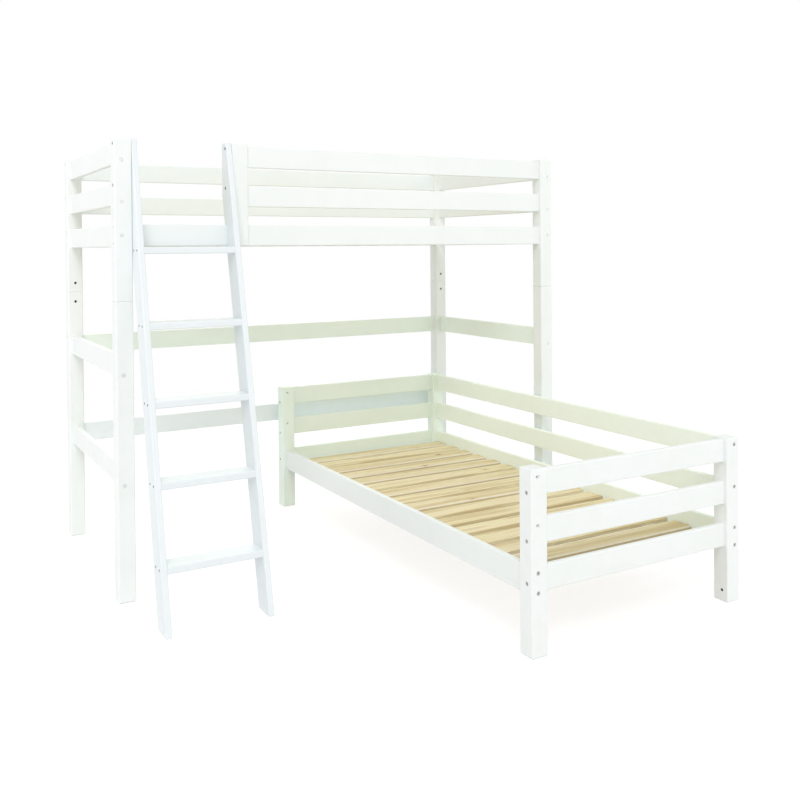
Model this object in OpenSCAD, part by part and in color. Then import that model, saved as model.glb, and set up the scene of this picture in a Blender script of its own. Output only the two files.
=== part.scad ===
// L shaped bunk bed: a high loft bed with a low single bed turned square to it
// underneath, and a leaning ladder at the front.
// Millimetres. X runs along the loft bed, Y to its back, Z up from the floor.
// The drawing is set out from the loft bed's front left floor corner and moved so
// that the origin is the middle of the whole outline on the floor.

/* [Loft bed] */
// Length over the posts
loft_l = 2074; // [1728:1:2490]
// Width over the posts
loft_w = 1010; // [840:1:1240]
// Height to the tops of the posts
loft_h = 1745; // [1455:1:2095]
// Distance of the post joint below the side rails
joint_drop = 206; // [170:1:248]
// Distance of the upper stretchers' undersides below the post joint
stretcher_drop = 286; // [238:1:344]
// Underside of the lower stretchers
stretcher_low_z = 430; // [300:1:540]

/* [Low bed] */
// Width over the posts
bed_w = 975; // [810:1:1200]
// Length over the posts
bed_l = 2098; // [1750:1:2520]
// Height to the tops of the posts
bed_h = 610; // [508:1:732]
// Distance of the side rails' undersides below the lowest head and foot boards
bed_rail_drop = 12; // [8:1:15]
// Height of the side rails
bed_rail_h = 95; // [80:1:114]
// Running gap between the low bed and the loft posts behind it
bed_gap = 3; // [1:0.5:20]

/* [Timber] */
// Side of the square posts
post_w = 65; // [55:1:78]
// Rounding of the long edges of the posts
post_r = 5; // [2:0.5:8]
// Height of the guard boards and stretchers
board_h = 84; // [70:1:100]
// Thickness of boards and rails
board_t = 22; // [19:1:26]
// Rounding of the long edges of the boards
board_r = 4; // [1:0.5:7]
// Set-back of the boards from the outer faces of the posts
board_inset = 15; // [12:1:18]
// Step from one guard board to the next
level_step = 157; // [130:1:188]
// Distance of the top guard boards below the tops of the loft posts
loft_top_gap = 11; // [8:1:14]
// Distance of the top boards below the tops of the low posts
bed_top_gap = 5; // [4:1:8]

/* [Ladder] */
// Width over the stiles
ladder_w = 395; // [330:1:474]
// Width of a stile, square to its edge
stile_w = 100; // [84:1:120]
// Thickness of a stile
stile_t = 22; // [18:1:26]
// Lean of the ladder from upright, in degrees
lean = 13.2; // [11:0.1:15.8]
// Set-back of the front edge at the top of the ladder
top_set = 12; // [6:1:16]
// Depth of the stiles at the top, from the front edge to the upright back cut
top_depth = 50; // [46:1:60]
// Number of steps
step_n = 5; // [4:1:5]
// Top of the lowest step
step_first = 226; // [188:1:272]
// Distance of the top step's tread below the side rail
step_drop = 2; // [1:1:30]
// Thickness of a step
step_t = 26; // [21:1:31]
// Depth of a step, front to back
step_d = 90; // [75:1:92]
// Depth of the housings that the steps stand in
housing = 6; // [3:0.5:9]

/* [Slats] */
// Number of slats in each bed
slat_n = 16; // [12:1:17]
// Width of a slat
slat_w = 90; // [75:1:108]
// Thickness of a slat
slat_t = 16; // [13:1:20]
// Side of the square cleats that carry the slats
cleat_s = 22; // [18:1:26]

/* [Fixings] */
// Diameter of the connecting bolts
bolt_d = 6; // [5:0.5:8]
// Diameter of the bolt heads
head_d = 13; // [11:0.5:14]
// Distance of the bolts from the nearer edge of a board
bolt_edge = 11; // [9:1:14]
// Diameter of the barrel nuts
nut_d = 10; // [9:0.5:12]
// Distance of the barrel nuts from the board ends
nut_set = 22; // [18:1:30]
// Diameter of the dowels beside the bolts
dowel_d = 10; // [8:0.5:11]
// Length of the dowels beside the bolts
dowel_l = 36; // [24:1:44]
// Diameter of the dowels that join legs and upper posts
leg_dowel_d = 28; // [22:1:32]
// Length of the dowels that join legs and upper posts
leg_dowel_l = 160; // [120:2:190]

/* [Hidden] */

PAINT = [0.95, 0.96, 0.94];
LADDER_PAINT = [0.93, 0.95, 0.97];
PINE = [0.88, 0.79, 0.60];
BEECH = [0.80, 0.66, 0.48];
STEEL = [0.42, 0.42, 0.42];

round_fn = 32;       // facets of a drawn circle
over = 1;            // overrun of cuts past a face

// Clearances
bolt_clear = 1;      // bore over bolt, on the diameter
fit_clear = 0.4;     // bore over dowel, pin or barrel nut, on the diameter
rail_clear = 0.3;    // guard post and ladder beside the side rail
slat_clear = 2;      // slat end to rail
slat_end_gap = 6;    // outer slat to post
step_clear = 0.2;    // step in its housing, all round

// Easing of the post ends
top_ease = 5;
foot_ease = 4;
joint_ease = 2.5;

// Fixings in detail
head_t = 4;
head_sink = 1;
socket_af = 4;       // hexagon socket across its flats
socket_deep = 2.5;
bolt_tip = 8;        // bolt past the middle of its nut
nut_l = 14;
sleeve_d = 14;       // flange of the sleeve nuts in the left stile
sleeve_t = 2;
pin_d = 12;
pin_sink = 8;        // leg pins below the face of the post
pin_off = 43;        // leg pins above and below the joint
screw_d = 4.5;
screw_head_d = 9;
screw_head_t = 3;
cleat_screw_l = 38;
slat_screw_l = 30;
step_screw_l = 55;
post_screw_l = 45;
cleat_screws = 6;
bed_guard_bolt = 21; // low bed guard rail bolts above the board's middle
bed_low_bolt = 11;   // bolts of the lowest head and foot boards below their middle
rail_bolt_edge = 15; // side rail bolts from the rail's edges
dowel_off = 18;
spare_z = 42;        // blind cross bore near the foot of the foot posts
spare_d = 10;
spare_deep = 20;

// Derived places
rail_z = loft_h - loft_top_gap - board_h - 2 * level_step; // underside of the side rails
joint_z = rail_z - joint_drop;            // legs and upper posts meet
stretcher_mid_z = joint_z - stretcher_drop;
bed_board_z = bed_h - bed_top_gap - board_h - 2 * level_step;
bed_rail_z = bed_board_z - bed_rail_drop;
step_rise = (rail_z - step_drop - step_first) / (step_n - 1);
bolt_off = board_h / 2 - bolt_edge;       // bolts above or below a board's middle
line = board_inset + board_t / 2;         // board middle behind a post's face
inner = board_inset + board_t;            // board's inner face
x_in = post_w;                            // between the loft posts, along X
x_out = loft_l - post_w;
y_in = post_w;                            // between the loft posts, along Y
y_out = loft_w - post_w;
bed_x1 = x_out - bed_gap;                 // low bed outline
bed_x0 = bed_x1 - bed_w;
bed_y1 = y_out - bed_gap;
bed_y0 = bed_y1 - bed_l;
ladder_x0 = post_w;                       // ladder against the front left post
ladder_x1 = ladder_x0 + ladder_w;
guard_x0 = ladder_x1;                     // guard post against the ladder
guard_x1 = guard_x0 + post_w;
ladder_foot_y = top_set - loft_h * tan(lean);
front_y = min(bed_y0, ladder_foot_y, 0);
centre = [loft_l / 2, (loft_w + front_y) / 2, 0];
rail_top = rail_z + board_h;
slat_top = rail_z + cleat_s + slat_t;
bed_slat_z = bed_rail_z + cleat_s;
bolt_bore_d = bolt_d + bolt_clear;
bolt_in = nut_set + bolt_tip;             // bolt past the end of its board

function level(z, k) = z + k * level_step;
function stile_y(z) = top_set - (loft_h - z) * tan(lean);
function step_top(k) = step_first + (k - 1) * step_rise;

// A board is [axis, line, start, end, underside, height, bolts, dowels, depth at
// start, depth at end]: axis 0 runs along X and 1 along Y, line is the place of its
// middle across, bolts and dowels are heights from its middle, and the depths are
// what its bolts pass through.
function across(b) = b[1];
function start(b) = b[2];
function stop(b) = b[3];
function span(b) = b[3] - b[2];
function mid_z(b) = b[4] + b[5] / 2;
function depth(b, e) = b[8 + e];
function end_xy(b, e) = b[0] == 0 ? [b[2 + e], b[1]] : [b[1], b[2 + e]];

function x_board(y, z, bolts, dowels) =
  [0, y, x_in, x_out, z, board_h, bolts, dowels, post_w, post_w];
function y_board(x, z, bolts, dowels) =
  [1, x, y_in, y_out, z, board_h, bolts, dowels, post_w, post_w];
function guard_board(k) =
  [0, line, guard_x1, x_out, level(rail_z, k), board_h, [bolt_off], [-dowel_off],
   post_w + stile_t, post_w];
function bed_x_board(y, k) =
  [0, y, bed_x0 + post_w, bed_x1 - post_w, level(bed_board_z, k), board_h,
   [k == 0 ? -bed_low_bolt : -bolt_off], [dowel_off], post_w, post_w];
function bed_y_board(x, z, h, bolts, dowels) =
  [1, x, bed_y0 + post_w, bed_y1 - post_w, z, h, bolts, dowels, post_w, post_w];
function bed_rail(x) =
  bed_y_board(x, bed_rail_z, bed_rail_h,
    [bed_rail_h / 2 - rail_bolt_edge, rail_bolt_edge - bed_rail_h / 2], [0]);

front_rail = x_board(line, rail_z, [bolt_off, -bolt_off], [0]);
front_mid = guard_board(1);
front_top = guard_board(2);
back = [for (k = [0:2]) x_board(loft_w - line, level(rail_z, k),
  k == 0 ? [bolt_off, -bolt_off] : [bolt_off], [k == 0 ? 0 : -dowel_off])];
left = [for (k = [0:2]) y_board(line, level(rail_z, k),
  [k == 0 ? 0 : -bolt_off], [k == 0 ? dowel_off + dowel_d / 2 : dowel_off])];
right = [for (k = [0:2]) y_board(loft_l - line, level(rail_z, k),
  [k == 0 ? 0 : -bolt_off], [k == 0 ? dowel_off + dowel_d / 2 : dowel_off])];
back_mid = x_board(loft_w - line, stretcher_mid_z, [bolt_off], [-dowel_off]);
back_low = x_board(loft_w - line, stretcher_low_z, [bolt_off], [-dowel_off]);
left_mid = y_board(line, stretcher_mid_z, [-bolt_off], [dowel_off]);
left_low = y_board(line, stretcher_low_z, [-bolt_off], [dowel_off]);
right_mid = y_board(loft_l - line, stretcher_mid_z, [-bolt_off], [dowel_off]);
head = [for (k = [0:2]) bed_x_board(bed_y1 - line, k)];
foot = [for (k = [0:2]) bed_x_board(bed_y0 + line, k)];
rail_left = bed_rail(bed_x0 + line);
rail_right = bed_rail(bed_x1 - line);
guards = [for (k = [1:2]) bed_y_board(bed_x1 - line, level(bed_board_z, k), board_h,
  [bed_guard_bolt], [-dowel_off])];

LOFT = concat([front_rail, front_mid, front_top], back, left, right,
  [back_mid, back_low, left_mid, left_low, right_mid]);
BED = concat(head, foot, [rail_left, rail_right], guards);
BOARDS = concat(LOFT, BED);

// ---- shared shapes ----

module in_frame() {
  translate(-centre) children();
}

// Rectangle with round corners
module rounded(w, h, r) {
  translate([r, 0]) square([w - 2 * r, h]);
  translate([0, r]) square([w, h - 2 * r]);
  for (x = [r, w - r], y = [r, h - r])
    translate([x, y]) circle(r = r, $fn = round_fn);
}

// Side outline of a post with both ends eased
module eased(h, low, high) {
  soft = 0.3;
  polygon([
    [low, 0], [post_w - low, 0], [post_w, low],
    [post_w, h - high], [post_w - soft * high, h - soft * high], [post_w - high, h],
    [high, h], [soft * high, h - soft * high], [0, h - high], [0, low]
  ]);
}

module post_body(h, low, high) {
  intersection() {
    linear_extrude(h) rounded(post_w, post_w, post_r);
    translate([0, post_w, 0]) rotate([90, 0, 0]) linear_extrude(post_w) eased(h, low, high);
    rotate([90, 0, 90]) linear_extrude(post_w) eased(h, low, high);
  }
}

// Children drawn along a board: X along it, Y across it, Z up
module lay(b) {
  if (b[0] == 0) translate([start(b), across(b), 0]) children();
  else mirror([1, -1, 0]) translate([start(b), across(b), 0]) children();
}

// Children drawn at a board's end, Z pointing out of the board into the post
module at_end(b, e, dz) {
  lay(b) translate([e * span(b), 0, mid_z(b) + dz]) rotate([0, e == 0 ? -90 : 90, 0])
    children();
}

// ---- fixings and the bores for them ----

module bolt_bore(pass) {
  translate([0, 0, -bolt_in - over]) cylinder(d = bolt_bore_d, h = bolt_in + pass + 2 * over,
    $fn = round_fn);
  translate([0, 0, pass - head_t - head_sink])
    cylinder(d = head_d + bolt_clear, h = head_t + head_sink + over, $fn = round_fn);
}

module bolt(pass, reach) {
  seat = pass - head_t - head_sink;
  difference() {
    union() {
      translate([0, 0, -reach]) cylinder(d = bolt_d, h = reach + seat + over, $fn = round_fn);
      translate([0, 0, seat]) cylinder(d = head_d, h = head_t, $fn = round_fn);
    }
    translate([0, 0, seat + head_t - socket_deep])
      cylinder(d = socket_af / cos(30), h = socket_deep + over, $fn = 6);
  }
}

// Open on the face of the board that looks right or back
module nut_bore() {
  translate([0, 0, -nut_set]) rotate([-90, 0, 0]) translate([0, 0, -nut_l / 2])
    cylinder(d = nut_d + fit_clear, h = nut_l / 2 + board_t / 2 + over, $fn = round_fn);
}

module nut() {
  difference() {
    translate([0, 0, -nut_set]) rotate([90, 0, 0])
      cylinder(d = nut_d, h = nut_l, center = true, $fn = round_fn);
    translate([0, 0, -nut_set - nut_d])
      cylinder(d = bolt_d + fit_clear, h = 2 * nut_d, $fn = round_fn);
  }
}

module dowel_bore() {
  cylinder(d = dowel_d + fit_clear, h = dowel_l + over, center = true, $fn = round_fn);
}

module dowel() {
  cylinder(d = dowel_d, h = dowel_l, center = true, $fn = round_fn);
}

// Countersunk screw, its head's top at the origin and its point along -Z
module screw(l) {
  rotate_extrude($fn = round_fn) polygon([
    [0, -l], [screw_d / 2, -l + screw_d / 2], [screw_d / 2, -screw_head_t],
    [screw_head_d / 2, 0], [0, 0]
  ]);
}

module screw_bore(l) {
  rotate_extrude($fn = round_fn) polygon([
    [0, -l - over], [(screw_d + fit_clear) / 2, -l - over],
    [(screw_d + fit_clear) / 2, -screw_head_t],
    [(screw_head_d + fit_clear) / 2, 0], [(screw_head_d + fit_clear) / 2, over], [0, over]
  ]);
}

// ---- boards ----

module board(b) {
  difference() {
    lay(b) translate([0, -board_t / 2, b[4]]) rotate([90, 0, 90])
      linear_extrude(span(b)) rounded(board_t, b[5], board_r);
    for (e = [0, 1]) {
      for (dz = b[6]) at_end(b, e, dz) {
        bolt_bore(depth(b, e));
        nut_bore();
      }
      for (dz = b[7]) at_end(b, e, dz) dowel_bore();
    }
  }
}

// ---- posts ----

// All bores for board ends that meet the post whose corner is at [x, y]
module end_bores(x, y, z0, z1) {
  mid = [x + post_w / 2, y + post_w / 2];
  reach = post_w / 2 + over;
  for (b = BOARDS, e = [0, 1]) {
    p = end_xy(b, e) - mid;
    if (abs(p.x) < reach && abs(p.y) < reach && mid_z(b) > z0 && mid_z(b) < z1) {
      for (dz = b[6]) at_end(b, e, dz) bolt_bore(depth(b, e));
      for (dz = b[7]) at_end(b, e, dz) dowel_bore();
    }
  }
}

// Blind bores across a post joint, open on the post's inner face
module pin_places(x, y) {
  back_post = y > loft_w / 2;
  for (dz = [-pin_off, pin_off])
    translate([x + post_w / 2, back_post ? y : y + post_w, joint_z + dz])
      rotate([back_post ? 90 : -90, 0, 0]) children();
}

pin_l = post_w / 2 + leg_dowel_d / 2 + 4;

module pin_bore() {
  translate([0, 0, -pin_l - over]) cylinder(d = pin_d + fit_clear, h = pin_l + 2 * over,
    $fn = round_fn);
}

module pin() {
  translate([0, 0, -pin_l]) cylinder(d = pin_d, h = pin_l - pin_sink, $fn = round_fn);
}

module leg_dowel_bore(x, y) {
  translate([x + post_w / 2, y + post_w / 2, joint_z])
    cylinder(d = leg_dowel_d + fit_clear, h = leg_dowel_l + 2 * over, center = true,
      $fn = round_fn);
}

module leg(x, y) {
  difference() {
    translate([x, y, 0]) post_body(joint_z, foot_ease, joint_ease);
    end_bores(x, y, 0, joint_z);
    leg_dowel_bore(x, y);
    pin_places(x, y) pin_bore();
  }
}

module upper_post(x, y) {
  difference() {
    translate([x, y, joint_z]) post_body(loft_h - joint_z, joint_ease, top_ease);
    end_bores(x, y, joint_z, loft_h);
    leg_dowel_bore(x, y);
    pin_places(x, y) pin_bore();
    if (x < x_in && y < y_in) stile_bolt_places() stile_bolt_bore();
  }
}

module guard_post() {
  difference() {
    translate([guard_x0, 0, rail_z]) post_body(loft_h - rail_z, foot_ease, top_ease);
    end_bores(guard_x0, 0, rail_z, loft_h);
    // slot over the side rail
    translate([guard_x0 - over, board_inset - rail_clear, rail_z - over])
      cube([post_w + 2 * over, board_t + 2 * rail_clear, board_h + over]);
    // inner cheek stops above the slats
    translate([guard_x0 - over, board_inset, rail_z - over])
      cube([post_w + 2 * over, post_w, slat_top + slat_clear - rail_z + over]);
    guard_screw_place() screw_bore(post_screw_l);
  }
}

// Screw from the inside of the guard post into the side rail
module guard_screw_place() {
  translate([guard_x0 + post_w / 2, post_w, (slat_top + slat_clear + rail_top) / 2])
    rotate([-90, 0, 0]) children();
}

module bed_post(x, y) {
  foot_post = y < bed_y0 + post_w;
  left_post = x < bed_x0 + post_w;
  difference() {
    translate([x, y, 0]) post_body(bed_h, foot_ease, top_ease);
    end_bores(x, y, 0, bed_h);
    // unused bores for a guard rail on the open side
    if (left_post) for (k = [1, 2])
      translate([x + line, foot_post ? y + post_w : y,
        level(bed_board_z, k) + board_h / 2 + bed_guard_bolt])
        rotate([foot_post ? 90 : -90, 0, 0]) bolt_bore(post_w);
    // blind cross bore low on the inner face
    if (foot_post) translate([left_post ? x + post_w : x, y + line, spare_z])
      rotate([0, 90, 0]) cylinder(d = spare_d, h = 2 * spare_deep, center = true,
        $fn = round_fn);
  }
}

// ---- cleats and slats ----

bed_runs = [[bed_x0 + inner, bed_x1 - inner], [bed_y0 + post_w, bed_y1 - post_w]];
loft_runs = [[inner, loft_w - inner], [x_in, x_out]];

function slat_pitch(run) = (run[1] - run[0] - 2 * slat_end_gap - slat_w) / (slat_n - 1);
function slat_at(run, i) = run[0] + slat_end_gap + i * slat_pitch(run);
// Cleat screws stand midway between two slats, clear of the slats' own screws
function cleat_screw_at(run, i) =
  slat_at(run, floor((slat_n - 1) * (i + 0.5) / cleat_screws) + 0.5) + slat_w / 2;

// Both beds are laid out the same way: U across the bed, V along it
module bed_frame(turned) {
  if (turned) mirror([1, -1, 0]) children();
  else children();
}

module cleat_screw_places(u, v, z) {
  for (s = [0, 1], i = [0:cleat_screws - 1])
    translate([s == 0 ? u[0] + cleat_s : u[1] - cleat_s, cleat_screw_at(v, i), z + cleat_s / 2])
      rotate([0, s == 0 ? 90 : -90, 0]) children();
}

module slat_screw_places(u, v, z) {
  for (s = [0, 1], i = [0:slat_n - 1])
    translate([s == 0 ? u[0] + cleat_s / 2 + slat_clear : u[1] - cleat_s / 2 - slat_clear,
      slat_at(v, i) + slat_w / 2, z]) children();
}

module cleats(u, v, z) {
  difference() {
    for (x = [u[0], u[1] - cleat_s])
      translate([x, v[0] + slat_clear, z]) cube([cleat_s, v[1] - v[0] - 2 * slat_clear, cleat_s]);
    cleat_screw_places(u, v, z) screw_bore(cleat_screw_l);
    slat_screw_places(u, v, z + cleat_s + slat_t) screw_bore(slat_screw_l);
  }
}

module slats(u, v, z) {
  difference() {
    for (i = [0:slat_n - 1])
      translate([u[0] + slat_clear, slat_at(v, i), z]) rotate([90, 0, 90])
        linear_extrude(u[1] - u[0] - 2 * slat_clear) rounded(slat_w, slat_t, slat_t / 6);
    slat_screw_places(u, v, z + slat_t) screw_bore(slat_screw_l);
  }
}

// ---- ladder ----

module stile_bolt_places() {
  for (k = [1, 2])
    translate([post_w, line, level(rail_z, k) + board_h / 2 + bolt_off])
      rotate([0, -90, 0]) children();
}

module stile_bolt_bore() {
  bolt_bore(post_w);
  // sleeve nut with its flange let into the ladder side of the stile
  translate([0, 0, -stile_t - over]) cylinder(d = nut_d + fit_clear, h = stile_t + over,
    $fn = round_fn);
  translate([0, 0, -stile_t - over]) cylinder(d = sleeve_d + fit_clear, h = sleeve_t + over,
    $fn = round_fn);
}

module sleeve_nut() {
  difference() {
    translate([0, 0, -stile_t]) union() {
      cylinder(d = nut_d, h = stile_t - 2 * over, $fn = round_fn);
      cylinder(d = sleeve_d, h = sleeve_t, $fn = round_fn);
    }
    translate([0, 0, -stile_t + sleeve_t]) cylinder(d = bolt_d + fit_clear, h = stile_t,
      $fn = round_fn);
  }
}

module step_profile(grow) {
  translate([-grow, -grow]) rounded(step_d + 2 * grow, step_t + 2 * grow, board_r + grow);
}

// Children drawn at the front lower edge of step k
module at_step(k) {
  translate([0, stile_y(step_top(k)) + over, step_top(k) - step_t]) children();
}

module step_screw_places(k) {
  for (s = [0, 1], f = [1, 3])
    at_step(k) translate([s == 0 ? ladder_x0 : ladder_x1, f * step_d / 4, step_t / 2])
      rotate([0, s == 0 ? -90 : 90, 0]) children();
}

module stile(x) {
  run = (loft_h + stile_w) / cos(lean) + stile_w;
  far = loft_w;
  difference() {
    translate([x, top_set, loft_h]) rotate([-lean, 0, 0]) translate([0, 0, stile_w - run])
      linear_extrude(run) rounded(stile_t, stile_w, board_r);
    // top and foot cut level
    translate([x - over, -far, loft_h]) cube([stile_t + 2 * over, 2 * far, far]);
    translate([x - over, -far, -far]) cube([stile_t + 2 * over, 2 * far, far]);
    // back of the top cut upright
    translate([x - over, top_set + top_depth, rail_top])
      cube([stile_t + 2 * over, far, far]);
    // seat over the side rail
    translate([x - over, board_inset - rail_clear, rail_z - far])
      cube([stile_t + 2 * over, far, far + board_h]);
    // housings for the steps
    for (k = [1:step_n]) at_step(k) translate([ladder_x0 + stile_t - housing, 0, 0])
      rotate([90, 0, 90]) linear_extrude(ladder_w - 2 * stile_t + 2 * housing)
        step_profile(step_clear);
    for (k = [1:step_n]) step_screw_places(k) screw_bore(step_screw_l);
    stile_bolt_places() stile_bolt_bore();
    for (b = [front_mid, front_top], dz = b[6]) at_end(b, 0, dz) bolt_bore(depth(b, 0));
  }
}

module step(k) {
  if (k <= step_n) difference() {
    at_step(k) translate([ladder_x0 + stile_t - housing, 0, 0])
      rotate([90, 0, 90]) linear_extrude(ladder_w - 2 * stile_t + 2 * housing)
        step_profile(0);
    step_screw_places(k) screw_bore(step_screw_l);
  }
}

// ---- nodes ----

module leg_front_left() { color(PAINT) in_frame() leg(0, 0); }
module leg_front_right() { color(PAINT) in_frame() leg(x_out, 0); }
module leg_back_left() { color(PAINT) in_frame() leg(0, y_out); }
module leg_back_right() { color(PAINT) in_frame() leg(x_out, y_out); }
module upper_post_front_left() { color(PAINT) in_frame() upper_post(0, 0); }
module upper_post_front_right() { color(PAINT) in_frame() upper_post(x_out, 0); }
module upper_post_back_left() { color(PAINT) in_frame() upper_post(0, y_out); }
module upper_post_back_right() { color(PAINT) in_frame() upper_post(x_out, y_out); }
module guard_post_node() { color(PAINT) in_frame() guard_post(); }
module front_side_rail() { color(PAINT) in_frame() difference() {
  board(front_rail);
  guard_screw_place() screw_bore(post_screw_l);
  cleat_screw_bores(loft_runs, rail_z, true);
} }
module front_guard_mid() { color(PAINT) in_frame() board(front_mid); }
module front_guard_top() { color(PAINT) in_frame() board(front_top); }
module back_side_rail() { color(PAINT) in_frame() difference() {
  board(back[0]);
  cleat_screw_bores(loft_runs, rail_z, true);
} }
module back_guard_mid() { color(PAINT) in_frame() board(back[1]); }
module back_guard_top() { color(PAINT) in_frame() board(back[2]); }
module left_end_rail() { color(PAINT) in_frame() board(left[0]); }
module left_guard_mid() { color(PAINT) in_frame() board(left[1]); }
module left_guard_top() { color(PAINT) in_frame() board(left[2]); }
module right_end_rail() { color(PAINT) in_frame() board(right[0]); }
module right_guard_mid() { color(PAINT) in_frame() board(right[1]); }
module right_guard_top() { color(PAINT) in_frame() board(right[2]); }
module back_stretcher_mid() { color(PAINT) in_frame() board(back_mid); }
module back_stretcher_low() { color(PAINT) in_frame() board(back_low); }
module left_stretcher_mid() { color(PAINT) in_frame() board(left_mid); }
module left_stretcher_low() { color(PAINT) in_frame() board(left_low); }
module right_stretcher_mid() { color(PAINT) in_frame() board(right_mid); }

module cleat_screw_bores(runs, z, turned) {
  bed_frame(turned) cleat_screw_places(runs[0], runs[1], z) screw_bore(cleat_screw_l);
}

module leg_dowels() { color(BEECH) in_frame()
  for (x = [0, x_out], y = [0, y_out]) difference() {
    translate([x + post_w / 2, y + post_w / 2, joint_z])
      cylinder(d = leg_dowel_d, h = leg_dowel_l, center = true, $fn = round_fn);
    pin_places(x, y) pin_bore();
  }
}

module leg_pins() { color(STEEL) in_frame()
  for (x = [0, x_out], y = [0, y_out]) pin_places(x, y) pin();
}

module loft_cleats() { color(PAINT) in_frame() bed_frame(true)
  cleats(loft_runs[0], loft_runs[1], rail_z);
}
module loft_slats() { color(PINE) in_frame() bed_frame(true)
  slats(loft_runs[0], loft_runs[1], rail_z + cleat_s);
}
module bed_cleats() { color(PAINT) in_frame()
  cleats(bed_runs[0], bed_runs[1], bed_rail_z);
}
module bed_slats() { color(PINE) in_frame()
  slats(bed_runs[0], bed_runs[1], bed_slat_z);
}

module ladder_stile_left() { color(LADDER_PAINT) in_frame() stile(ladder_x0); }
module ladder_stile_right() { color(LADDER_PAINT) in_frame() stile(ladder_x1 - stile_t); }
module ladder_step(k) { color(LADDER_PAINT) in_frame() step(k); }
module ladder_screws() { color(STEEL) in_frame()
  for (k = [1:step_n]) step_screw_places(k) screw(step_screw_l);
}
module ladder_bolts() { color(STEEL) in_frame() {
  stile_bolt_places() {
    bolt(post_w, stile_t - sleeve_t - over);
    sleeve_nut();
  }
  for (b = [front_mid, front_top], dz = b[6]) at_end(b, 0, dz) bolt(depth(b, 0), bolt_in);
} }

module bed_post_head_left() { color(PAINT) in_frame() bed_post(bed_x0, bed_y1 - post_w); }
module bed_post_head_right() { color(PAINT) in_frame()
  bed_post(bed_x1 - post_w, bed_y1 - post_w);
}
module bed_post_foot_left() { color(PAINT) in_frame() bed_post(bed_x0, bed_y0); }
module bed_post_foot_right() { color(PAINT) in_frame() bed_post(bed_x1 - post_w, bed_y0); }
module headboard(k) { color(PAINT) in_frame() board(head[k]); }
module footboard(k) { color(PAINT) in_frame() board(foot[k]); }
module bed_rail_left() { color(PAINT) in_frame() difference() {
  board(rail_left);
  cleat_screw_bores(bed_runs, bed_rail_z, false);
} }
module bed_rail_right() { color(PAINT) in_frame() difference() {
  board(rail_right);
  cleat_screw_bores(bed_runs, bed_rail_z, false);
} }
module bed_guard_mid() { color(PAINT) in_frame() board(guards[0]); }
module bed_guard_top() { color(PAINT) in_frame() board(guards[1]); }

module frame_bolts() { color(STEEL) in_frame()
  for (b = BOARDS, e = [0, 1], dz = b[6])
    if (depth(b, e) == post_w) at_end(b, e, dz) bolt(post_w, bolt_in);
}
module barrel_nuts() { color(STEEL) in_frame()
  for (b = BOARDS, e = [0, 1], dz = b[6]) at_end(b, e, dz) nut();
}
module board_dowels() { color(BEECH) in_frame()
  for (b = BOARDS, e = [0, 1], dz = b[7]) at_end(b, e, dz) dowel();
}
module slat_screws(runs, z) {
  cleat_screw_places(runs[0], runs[1], z) screw(cleat_screw_l);
  slat_screw_places(runs[0], runs[1], z + cleat_s + slat_t) screw(slat_screw_l);
}
module loft_screws() { color(STEEL) in_frame() {
  guard_screw_place() screw(post_screw_l);
  bed_frame(true) slat_screws(loft_runs, rail_z);
} }
module bed_screws() { color(STEEL) in_frame() slat_screws(bed_runs, bed_rail_z); }

leg_front_left();
leg_front_right();
leg_back_left();
leg_back_right();
upper_post_front_left();
upper_post_front_right();
upper_post_back_left();
upper_post_back_right();
guard_post_node();  // guard_post
front_side_rail();
front_guard_mid();
front_guard_top();
back_side_rail();
back_guard_mid();
back_guard_top();
left_end_rail();
left_guard_mid();
left_guard_top();
right_end_rail();
right_guard_mid();
right_guard_top();
back_stretcher_mid();
back_stretcher_low();
left_stretcher_mid();
left_stretcher_low();
right_stretcher_mid();
leg_dowels();
leg_pins();
loft_cleats();
loft_slats();
ladder_stile_left();
ladder_stile_right();
ladder_step(1);  // ladder_step_1
ladder_step(2);  // ladder_step_2
ladder_step(3);  // ladder_step_3
ladder_step(4);  // ladder_step_4
ladder_step(5);  // ladder_step_5
ladder_screws();
ladder_bolts();
bed_post_head_left();
bed_post_head_right();
bed_post_foot_left();
bed_post_foot_right();
headboard(0);  // headboard_low
headboard(1);  // headboard_mid
headboard(2);  // headboard_top
footboard(0);  // footboard_low
footboard(1);  // footboard_mid
footboard(2);  // footboard_top
bed_rail_left();
bed_rail_right();
bed_guard_mid();
bed_guard_top();
bed_cleats();
bed_slats();
frame_bolts();
barrel_nuts();
board_dowels();
loft_screws();
bed_screws();
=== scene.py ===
"""Finishes the l shaped bunk bed: white painted timber, bare pine slats, and its steel fixings."""

import math

import bmesh
import bpy
from bpy.props import FloatProperty, FloatVectorProperty, IntProperty, PointerProperty
from mathutils import Matrix, Vector


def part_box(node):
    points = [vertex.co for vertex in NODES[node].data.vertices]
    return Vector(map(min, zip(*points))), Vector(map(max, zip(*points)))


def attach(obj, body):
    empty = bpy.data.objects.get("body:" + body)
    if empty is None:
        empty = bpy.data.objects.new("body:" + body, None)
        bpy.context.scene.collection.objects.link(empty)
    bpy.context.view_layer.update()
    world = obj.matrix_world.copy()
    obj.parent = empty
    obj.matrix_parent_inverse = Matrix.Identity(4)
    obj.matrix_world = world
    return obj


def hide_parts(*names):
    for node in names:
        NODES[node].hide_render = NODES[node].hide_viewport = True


bl_info = {
    "name": "Bunk Bed Finisher",
    "version": (1, 0, 0),
    "blender": (4, 5, 0),
    "location": "View3D > Sidebar > Bunk Bed",
    "description": "Paints an l shaped bunk bed and furnishes it with slats and fixings",
    "category": "Object",
}

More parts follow.
